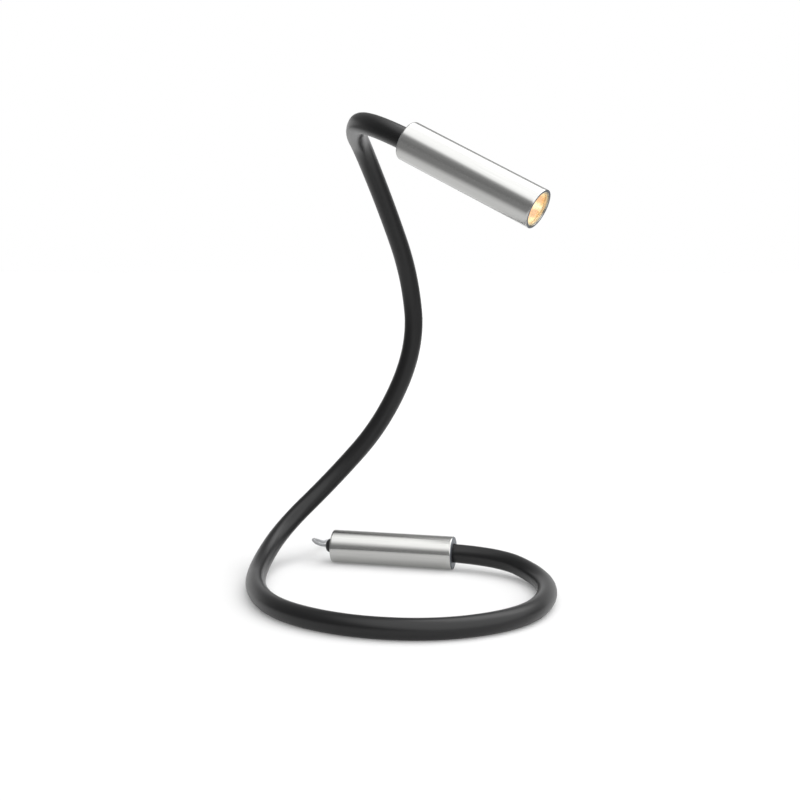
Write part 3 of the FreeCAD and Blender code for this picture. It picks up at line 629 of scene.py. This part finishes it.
def make_barrel(name, place, length, screws, finish, body, node):
    """A brushed tube, closed at the hose's end."""
    bore = BARREL_RADIUS - BARREL_WALL
    barrel = turned(name, [
        (0, HOSE_HOLE), (0, BARREL_RADIUS), (SUPPORT, BARREL_RADIUS), (length - SUPPORT, BARREL_RADIUS),
        (length, BARREL_RADIUS), (length, bore), (length - SUPPORT, bore), (END_WALL + SUPPORT, bore),
        (END_WALL, bore), (END_WALL, HOSE_HOLE), (0, HOSE_HOLE)], sides=128, closed=True)
    bevel_edges(barrel, on_ring(0, BARREL_RADIUS), EDGE_ROUND, 6)
    for along, radius in ((length, BARREL_RADIUS), (length, bore), (0, HOSE_HOLE)):
        bevel_edges(barrel, on_ring(along, radius), EDGE_BREAK, 2)
    for along in screws:
        bpy.ops.object.select_all(action="DESELECT")
        bpy.ops.mesh.primitive_cylinder_add(
            vertices=32, radius=GRUB_HOLE, depth=4 * BARREL_WALL,
            location=(BARREL_RADIUS, 0, along), rotation=(0, math.pi / 2, 0))
        cut_out(barrel, named("drill"))
    smooth(barrel)
    dress(barrel, finish, "brushed_aluminium", body, node)
    # the rim and the closed end take the darker grey: painted shade
    barrel.data.materials.append(tube_end_shade)
    for face in barrel.data.polygons:
        at_rim = face.normal.z > 0.5 and face.center.z > length / 2
        at_end_wall = face.normal.z < -0.5 and face.center.z < END_WALL / 2
        face.material_index = int(at_rim or at_end_wall)
    stand(barrel, place)
    print(name, len(barrel.data.polygons), "faces")


make_barrel("head_tube", head_frame, HEAD_LENGTH, HEAD_SCREWS, head_aluminium, "head", "head_barrel")
make_barrel(
    "housing_tube", housing_frame, HOUSING_LENGTH, HOUSING_SCREWS, housing_aluminium, "base",
    "housing_barrel")

# %% [markdown]
# ## Reflector and LED
# In the head's mouth a golden, metal-coated bowl gathers the light of one warm LED. The LED is lit, so its
# phosphor emits a warm light. A render finds such a small lamp behind a lens only by luck, so the light that
# the bowl gathers is painted into its colour and emission as a painted glow and painted reflection: palest
# across the middle, where it mirrors the LED, golden to the sides and pale again at the rim. Moulded bowls
# have shallow waves, which shift the bands; here a noise shifts the painted bands.

# %% Make the reflector's gold with its painted glow
MOUTH_RADIUS = 0.01305
PAINTED_BOWL_GLOW = 0.65
WAVE_MM = 4
WAVE_SHIFT = 0.2
PAINTED_GLOW_STOPS = [(0.0, "fffdf0"), (0.12, "fff6d0"), (0.3, "dcb47c"), (0.58, "d4a870"), (0.85, "f6e6bc")]


def reckon(tree, operation, first, second=0.5):
    """The result of one sum with shader values."""
    return add(tree, "ShaderNodeMath", {0: first, 1: second}, operation=operation).outputs[0]


# the bowl's colour and emission are a painted glow and painted reflection of the LED, in bands across the
# mouth
gold, gold_tree, gold_shader = start_material("gold_reflector_painted_glow", "e9cf98", 0.7, 0.4)
gold_axes = add(gold_tree, "ShaderNodeSeparateXYZ", {"Vector": seen_from(gold_tree, head_frame)})
gold_wave = add(gold_tree, "ShaderNodeMapRange", {
    "Value": noise_of(gold_tree, WAVE_MM, 1.0), "To Min": -WAVE_SHIFT, "To Max": WAVE_SHIFT})
gold_side = reckon(gold_tree, "DIVIDE", gold_axes.outputs["Y"], MOUTH_RADIUS)
gold_side = reckon(gold_tree, "ADD", gold_side, gold_wave.outputs["Result"])
gold_side = reckon(gold_tree, "ABSOLUTE", gold_side)
painted_glow_bands = add(gold_tree, "ShaderNodeValToRGB", {"Fac": gold_side})
painted_glow_ramp = painted_glow_bands.color_ramp
painted_glow_ramp.elements[0].color = colour(PAINTED_GLOW_STOPS[0][1])
painted_glow_ramp.elements[1].position = PAINTED_GLOW_STOPS[-1][0]
painted_glow_ramp.elements[1].color = colour(PAINTED_GLOW_STOPS[-1][1])
for place, code in PAINTED_GLOW_STOPS[1:-1]:
    painted_glow_ramp.elements.new(place).color = colour(code)
# painted glow: the same bands set both the colour and the emission
for socket in ("Base Color", "Emission Color"):
    gold_tree.links.new(painted_glow_bands.outputs["Color"], gold_shader.inputs[socket])
gold_shader.inputs["Emission Strength"].default_value = PAINTED_BOWL_GLOW
print("made", gold.name, "with", len(painted_glow_ramp.elements), "bands")

# %% [markdown]
# The bowl is a parabola: the square of its radius grows steadily along it. Its rings are worked out from
# that and turned, and the sheet then gets its wall.

# %% Turn the reflector
BOARD_FRONT = 0.095
MOUTH = 0.121
THROAT_RADIUS = 0.005
BOWL_WALL = 0.0007
BOWL_RINGS = 24

bowl_rings = []
for i in range(BOWL_RINGS + 1):
    share = i / BOWL_RINGS
    square = THROAT_RADIUS**2 + (MOUTH_RADIUS**2 - THROAT_RADIUS**2) * share
    bowl_rings.append((BOARD_FRONT + (MOUTH - BOARD_FRONT) * share, math.sqrt(square)))
bowl = turned("reflector_bowl", bowl_rings)
finish_with(bowl, "SOLIDIFY", thickness=BOWL_WALL, offset=1.0)
smooth(bowl, 50)
stand(bowl, head_frame)
dress(bowl, gold, "golden_reflector", "head", "reflector")
print("reflector rings:", len(bowl_rings))

# %% [markdown]
# The LED's phosphor is a yellow layer that glows a warm white when it is lit, with slightly uneven grains.
# The lens before it is moulded polycarbonate, clear, with a trace of warm tint that varies with its flow.

# %% Light the LED and make the lens
LED_STRENGTH = 1.5
LENS_IOR = 1.58
PHOSPHOR_MM = 0.6
FLOW_MM = 9

phosphor, phosphor_tree, phosphor_shader = start_material("lit_led_phosphor", "ffd98f", 0.0, 0.4)
phosphor_tone = tone_of(phosphor_tree, noise_of(phosphor_tree, PHOSPHOR_MM, 2.0), "fff0cf", "ffdc98")
phosphor_tree.links.new(phosphor_tone, phosphor_shader.inputs["Emission Color"])
phosphor_shader.inputs["Emission Strength"].default_value = LED_STRENGTH

clear, clear_tree, clear_shader = start_material("clear_polycarbonate_lens", "fffdf8", 0.0, 0.0)
clear_shader.inputs["Transmission Weight"].default_value = 1.0
clear_shader.inputs["IOR"].default_value = LENS_IOR
clear_tone = tone_of(clear_tree, noise_of(clear_tree, FLOW_MM, 1.0), "fffefb", "fffaf0")
clear_tree.links.new(clear_tone, clear_shader.inputs["Base Color"])
print("made", phosphor.name, "and", clear.name)

# %% [markdown]
# ## Cord gland
# A black rubber dome holds the cord where it enters the housing. It has a thin collar against the cap, a
# groove and a round nose. Only the nose and the collar show. The rest goes through the cap. It is moulded
# and matt, so it takes almost no highlight.

# %% Turn the gland
CAP_INSIDE = 0.116
CORD_HOLE = 0.0016
FLANGE_THICKNESS = 0.002
FLANGE_RADIUS = 0.0055
NECK_RADIUS = 0.004
COLLAR_RADIUS = 0.007
COLLAR_END = 0.1223
GROOVE_RADIUS = 0.0062
NOSE_START = 0.1228
NOSE_RADIUS = 0.0069
NOSE_ROUND = 0.0050
NOSE_STEPS = 8

flange_start = CAP_INSIDE - FLANGE_THICKNESS
gland_rings = [
    (flange_start, CORD_HOLE), (flange_start, FLANGE_RADIUS), (CAP_INSIDE, FLANGE_RADIUS),
    (CAP_INSIDE, NECK_RADIUS), (HOUSING_LENGTH, NECK_RADIUS), (HOUSING_LENGTH, COLLAR_RADIUS),
    (COLLAR_END, COLLAR_RADIUS), (COLLAR_END, GROOVE_RADIUS), (NOSE_START, GROOVE_RADIUS),
    (NOSE_START, NOSE_RADIUS),
]
for i in range(NOSE_STEPS + 1):
    angle = math.pi / 2 * i / NOSE_STEPS
    along = GLAND_TIP - NOSE_ROUND + NOSE_ROUND * math.sin(angle)
    gland_rings.append((along, NOSE_RADIUS - NOSE_ROUND + NOSE_ROUND * math.cos(angle)))
gland_rings += [(GLAND_TIP, CORD_HOLE), (flange_start, CORD_HOLE)]
gland_rubber = grained("moulded_gland_rubber", "030303", "060606", 0.0, 0.55, grain_mm=0.7, bump_mm=0.02)
gland = turned("gland_nose", gland_rings, sides=64, closed=True)
smooth(gland, 40)
stand(gland, housing_frame)
dress(gland, gland_rubber, "gland_rubber", "base", "cord_gland")
print("gland rings:", len(gland_rings))

# %% [markdown]
# ## In-line switch
# The switch is two moulded shells that clip together, with a thumb slider in a slot. The shells are boxes
# with rounded upright edges and softer rims, and short collars guide the cord. A fine line is left where
# the shells meet. The mould is spark-eroded, which gives the plastic a fine, even matt.

# %% Write the switch's helpers
SWITCH_WIDTH = 0.016
SWITCH_CORNER = 0.004
SWITCH_RIM = 0.001

switch_centre = Vector((SWITCH_LEFT_X + SWITCH_LENGTH / 2, switch_y, 0))
abs_grey = grained("spark_textured_grey_abs", "b9bbbd", "adafb1", 0.0, 0.5, grain_mm=0.5, bump_mm=0.02)
abs_black = grained("spark_textured_black_abs", "1d1d1e", "262627", 0.0, 0.5, grain_mm=0.5, bump_mm=0.02)


def block(name, size, centre):
    """A box at its size and place."""
    bpy.ops.object.select_all(action="DESELECT")
    bpy.ops.mesh.primitive_cube_add(size=1, location=centre)
    piece = named(name)
    piece.scale = size
    bpy.ops.object.transform_apply(location=True, rotation=True, scale=True)
    return piece


def join(piece, *others):
    """Joins other meshes into a piece."""
    only(piece)
    for other in others:
        other.select_set(True)
    bpy.ops.object.join()


def shell(name, bottom, top, rim_height):
    """Half of the switch's case, with one soft rim."""
    centre = switch_centre + Vector((0, 0, (bottom + top) / 2))
    piece = block(name, (SWITCH_LENGTH, SWITCH_WIDTH, top - bottom), centre)
    bevel_edges(piece, lambda one, two: abs(one.z - two.z) > NEAR, SWITCH_CORNER, 8)
    bevel_edges(
        piece, lambda one, two: max(abs(one.z - rim_height), abs(two.z - rim_height)) < NEAR, SWITCH_RIM, 4)
    return piece


# %% Model the switch's shells
SEAM = 0.00015
SLOT_SIZE = (0.0136, 0.0051, 0.006)
COLLAR_LENGTH = 0.004
COLLAR_ROOT = 0.0034
COLLAR_TIP = 0.0027
COLLAR_SUNK = 0.0003

switch_base = shell("switch_lower_shell", 0, switch_middle - SEAM, 0)
collars = []
for end in (-1, 1):
    collar = turned(
        "collar", [(0, COLLAR_ROOT), (COLLAR_LENGTH, COLLAR_TIP), (COLLAR_LENGTH, CORD_HOLE)], sides=32)
    place = switch_centre + Vector((end * (SWITCH_LENGTH / 2 - COLLAR_SUNK), 0, switch_middle))
    stand(collar, frame_along(place, Vector((end, 0, 0)), Vector((0, 1, 0))))
    collars.append(collar)
join(switch_base, *collars)
smooth(switch_base)
dress(switch_base, abs_grey, "switch_plastic", "base", "switch_base")

switch_cover = shell("switch_upper_shell", switch_middle, SWITCH_HEIGHT, SWITCH_HEIGHT)
cut_out(switch_cover, block("slot", SLOT_SIZE, switch_centre + Vector((0, 0, SWITCH_HEIGHT))))
smooth(switch_cover)
dress(switch_cover, abs_grey, "switch_plastic", "base", "switch_cover")
print("switch shells:", len(switch_base.data.polygons), len(switch_cover.data.polygons), "faces")

# %% [markdown]
# The slider is a black block with soft edges. Four small ridges across it give the thumb a grip.

# %% Model the slider
THUMB_SIZE = (0.008, 0.0045, 0.0036)
THUMB_REST = 0.0025
THUMB_TOP = 0.0102
THUMB_ROUND = 0.0004
RIDGES = 4
RIDGE_SIZE = (0.0009, 0.0036, 0.0008)
RIDGE_ROUND = 0.0003

thumb_middle = switch_centre + Vector((THUMB_REST, 0, THUMB_TOP - THUMB_SIZE[2] / 2))
thumb = block("switch_thumb", THUMB_SIZE, thumb_middle)
finish_with(thumb, "BEVEL", width=THUMB_ROUND, segments=3)
ridges = []
for i in range(RIDGES):
    offset = (i - (RIDGES - 1) / 2) * THUMB_SIZE[0] / (RIDGES + 0.5)
    ridge = block("ridge", RIDGE_SIZE, thumb_middle + Vector((offset, 0, THUMB_SIZE[2] / 2)))
    finish_with(ridge, "BEVEL", width=RIDGE_ROUND, segments=3)
    ridges.append(ridge)
join(thumb, *ridges)
smooth(thumb)
dress(thumb, abs_black, "slider_plastic", "switch_slider", "switch_slider")
print("slider:", len(thumb.data.polygons), "faces")

# %% [markdown]
# ## Barrel plug and tie
# The plug's body is moulded round the cord. Its tail has ribs that let it flex, and its nose holds a nickel
# sleeve, which comes from the frame. The coil is held by a thin strap of woven nylon, black and dull.

# %% Turn the plug's body
PLUG_TAPER = 0.009
PLUG_LENGTH = 0.024
PLUG_RADIUS = 0.00475
PLUG_TAIL = 0.0029
PLUG_EDGE = 0.0005
RIB_COUNT = 4
RIB_DEPTH = 0.0006
RIB_OUTLINE = ((0.55, 0), (0.65, RIB_DEPTH), (0.9, RIB_DEPTH), (1.0, 0))
PIN_RADIUS = 0.00275

plug_rings = [(0, CORD_HOLE), (0, PLUG_TAIL)]
rib_pitch = PLUG_TAPER / (RIB_COUNT + 0.5)
for i in range(RIB_COUNT):
    for share, depth in RIB_OUTLINE:
        along = (i + share) * rib_pitch
        outside = PLUG_TAIL + (PLUG_RADIUS - PLUG_TAIL) * along / PLUG_TAPER
        plug_rings.append((along, outside - depth))
plug_rings += [
    (PLUG_TAPER, PLUG_RADIUS), (PLUG_LENGTH - PLUG_EDGE, PLUG_RADIUS),
    (PLUG_LENGTH, PLUG_RADIUS - PLUG_EDGE), (PLUG_LENGTH, PIN_RADIUS)]
plug = turned("plug_moulding", plug_rings, sides=48)
smooth(plug, 30)
stand(plug, frame_along(PLUG_START, plug_axis, UP.cross(plug_axis)))
dress(plug, abs_black, "plug_plastic", "base", "plug_body")
print("plug rings:", len(plug_rings))

TIE_WIDTH = 0.006
TIE_THICKNESS = 0.0004
TIE_CORNER = 0.0012

tie_low, tie_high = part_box("coil_tie")
tie_size = (tie_high.x - tie_low.x, TIE_WIDTH, tie_high.z - tie_low.z)
strap = block("coil_strap", tie_size, (tie_low + tie_high) / 2)
choose(strap, "FACE", lambda face: abs(face.normal.y) > 0.5)
bpy.ops.mesh.delete(type="FACE")
bpy.ops.object.mode_set(mode="OBJECT")
bevel_edges(strap, lambda one, two: True, TIE_CORNER, 4)
finish_with(strap, "SOLIDIFY", thickness=TIE_THICKNESS, offset=-1.0)
smooth(strap, 40)
strap_weave = grained("woven_nylon_strap", "191919", "2a2a2a", 0.0, 0.8, grain_mm=0.4, bump_mm=0.08)
dress(strap, strap_weave, "tie_black", "base", "coil_tie")

print("strap:", [round(length, 4) for length in tie_size], "m")

# %% [markdown]
# ## Parts that stay as measured
# The rest of the parts come straight from the frame: the cap, the screws, the lens, and what is inside the
# two tubes. Each gets the finish of its real material. Most of it never shows, but anyone who opens the lamp
# should find brass, steel and a green board, and not grey blocks.

# %% Finish the measured parts
# finish, light and dark colour, metalness, roughness, grain and bump in millimetres, and the parts it goes on
FINISHES = [
    ("turned_brass", "b9974f", "a3823f", 1.0, 0.3, 0.6, 0.02,
     ["head_ferrule", "housing_ferrule", "switch_contacts"]),
    ("black_oxide_steel", "1c1c1e", "28282a", 0.9, 0.45, 0.5, 0.02,
     ["head_grub_screws", "housing_grub_screws"]),
    ("turned_mild_steel", "7f8082", "6b6c6e", 1.0, 0.4, 0.8, 0.03, ["counterweight"]),
    ("milled_aluminium", "bfc1c3", "a9abad", 1.0, 0.35, 0.7, 0.02, ["heat_sink"]),
    # the lens ring's pale cream is a painted highlight for the reflector's bright rolled rim, on a gold metal
    # ring
    ("gold_anodised_aluminium", "f4e6c4", "ead7a8", 0.6, 0.35, 0.5, 0.01, ["lens_ring"]),
    ("white_solder_mask", "e8e8e4", "dcdcd6", 0.0, 0.4, 1.0, 0.01, ["led_board"]),
    ("green_circuit_laminate", "1c5a34", "164a2b", 0.0, 0.4, 1.5, 0.02, ["driver_board"]),
    ("grey_silicone_pad", "8f9498", "84898d", 0.0, 0.7, 0.8, 0.03, ["thermal_pad"]),
    ("moulded_black_nylon", "242426", "2d2d2f", 0.0, 0.6, 0.6, 0.02, ["driver_tray"]),
    ("sintered_ferrite", "2a2a2c", "353537", 0.1, 0.65, 0.4, 0.03, ["driver_inductor"]),
    ("drawn_aluminium_can", "a8abae", "989b9e", 1.0, 0.25, 1.2, 0.01, ["driver_capacitor"]),
    ("moulded_chip_epoxy", "161618", "1f1f21", 0.0, 0.6, 0.3, 0.02, ["driver_chip"]),
    ("white_lead_pvc", "d5d6d6", "c9caca", 0.0, 0.4, 2.0, 0.01, ["head_lead", "housing_lead"]),
    ("plated_nickel", "cbc8c1", "bdbab3", 1.0, 0.18, 0.8, 0.005, ["plug_sleeve"]),
]
measured = {
    "inlet_lead": pvc, "cord_cap": housing_aluminium, "front_lens": clear, "led_emitter": phosphor,
    "plug_insulator": abs_black,
}
for *values, parts in FINISHES:
    finish = grained(*values)
    measured.update({part: finish for part in parts})
for name, finish in measured.items():
    nodes[name].data.materials.clear()
    nodes[name].data.materials.append(finish)
print("measured parts:", len(measured))

# %% [markdown]
# ## Floor
# The lamp is set on white: a white table runs into a white backdrop, with only soft shadows under the
# hose. The floor is matt white, and what the camera sees of it is lifted to white where no shadow falls.
# The lift and a paler colour make a painted pool of light, which widens towards the backdrop as the
# camera's view does. The floor beside it is painted grey, a painted shade which keeps the hose's sides
# dark.

# %% Build the floor with its painted pool of light
FLOOR_DROP = 0.0002
FLOOR_WIDTH = 60.0
FLOOR_LIFT = 0.185
PAINTED_POOL_WIDENS = 0.333
PAINTED_POOL_NEAR = 0.38
PAINTED_POOL_FAR = 1.0

bpy.ops.object.select_all(action="DESELECT")
bpy.ops.mesh.primitive_plane_add(size=FLOOR_WIDTH, location=(0, 0, -FLOOR_DROP))
floor = named("floor")
bpy.ops.object.transform_apply(location=True, rotation=True, scale=True)
bpy.ops.object.mode_set(mode="EDIT")
bpy.ops.mesh.subdivide(number_cuts=3)
bpy.ops.object.mode_set(mode="OBJECT")

white, tree, shader = start_material("white_table_painted_pool", "c6c6c6", 0.0, 0.9)
place = add(tree, "ShaderNodeTexCoord")
axes = add(tree, "ShaderNodeSeparateXYZ", {"Vector": place.outputs["Object"]})
aside = reckon(tree, "ABSOLUTE", axes.outputs["X"])
outside = reckon(tree, "SUBTRACT", aside, reckon(tree, "MULTIPLY", axes.outputs["Y"], PAINTED_POOL_WIDENS))
# painted pool of light: 1 where the floor is painted paler and lifted, 0 at its sides, which are painted
# shade
painted_pool = add(tree, "ShaderNodeMapRange", {
    "Value": outside, "From Min": PAINTED_POOL_NEAR, "From Max": PAINTED_POOL_FAR, "To Min": 1.0, "To Max": 0.0},
    interpolation_type="SMOOTHSTEP").outputs["Result"]
# the emission lift is seen by camera, glossy and transmission rays, and only inside the painted pool
path = add(tree, "ShaderNodeLightPath")
seen = reckon(tree, "MAXIMUM", path.outputs["Is Camera Ray"], path.outputs["Is Glossy Ray"])
seen = reckon(tree, "MAXIMUM", seen, path.outputs["Is Transmission Ray"])
lift = reckon(tree, "MULTIPLY", reckon(tree, "MULTIPLY", seen, painted_pool), FLOOR_LIFT)
# painted shade at the sides (7c7c7c) and paler white inside the painted pool
tree.links.new(tone_of(tree, painted_pool, "7c7c7c", "c6c6c6"), shader.inputs["Base Color"])
shader.inputs["Emission Color"].default_value = (1, 1, 1, 1)
tree.links.new(lift, shader.inputs["Emission Strength"])
floor.data.materials.append(white)
print("floor:", len(floor.data.polygons), "faces")

# %% [markdown]
# ## Studio and light
# The studio is white behind the lamp and bright above it, where a large soft box leans to the right and
# towards the viewer. It is darker on the viewer's side, near the horizon. Metal mirrors that, which gives
# the tubes their dark band. A broad window adds soft shadows. The picture keeps the plain screen colours.

# %% Light the studio
OVERHEAD = 2.1
GAP = 0.38
VIEWER_SIDE = 0.3
BACKDROP_EDGE = (0.35, 0.8)
BACKDROP_TOP = (0.24, 0.34)
SOFT_BOX_LEAN = (0.5, -0.5, 1.0)
SOFT_BOX_EDGE = (0.5, 0.86)
WINDOW_ENERGY = 0.8
WINDOW_ANGLE = math.radians(50)
WINDOW_TURN = (math.radians(-20), math.radians(25), 0)

world = bpy.data.worlds.new("studio")
bpy.context.scene.world = world
world.use_nodes = True
sky = world.node_tree


def rise(value, edge, low=0.0, high=1.0):
    """Goes softly from one level to another while a value crosses an edge."""
    return add(sky, "ShaderNodeMapRange", {
        "Value": value, "From Min": edge[0], "From Max": edge[1], "To Min": low, "To Max": high},
        interpolation_type="SMOOTHSTEP").outputs["Result"]


direction = add(sky, "ShaderNodeTexCoord").outputs["Generated"]
axes = add(sky, "ShaderNodeSeparateXYZ", {"Vector": direction})
lean = add(sky, "ShaderNodeVectorMath", {0: direction, 1: SOFT_BOX_LEAN}, operation="DOT_PRODUCT")
low = add(sky, "ShaderNodeMix", {
    "Factor": rise(axes.outputs["Z"], BACKDROP_TOP),
    "A": rise(axes.outputs["Y"], BACKDROP_EDGE, VIEWER_SIDE), "B": GAP})
level = add(sky, "ShaderNodeMix", {
    "Factor": rise(lean.outputs["Value"], SOFT_BOX_EDGE), "A": low.outputs["Result"], "B": OVERHEAD})
background = sky.nodes["Background"]
sky.links.new(level.outputs["Result"], background.inputs["Strength"])
background.inputs["Color"].default_value = (1, 1, 1, 1)

sun = bpy.data.lights.new("window", "SUN")
sun.energy = WINDOW_ENERGY
sun.angle = WINDOW_ANGLE
window = bpy.data.objects.new("window", sun)
window.rotation_euler = WINDOW_TURN
bpy.context.scene.collection.objects.link(window)
bpy.context.scene.view_settings.view_transform = "Standard"
print("studio nodes:", len(sky.nodes))
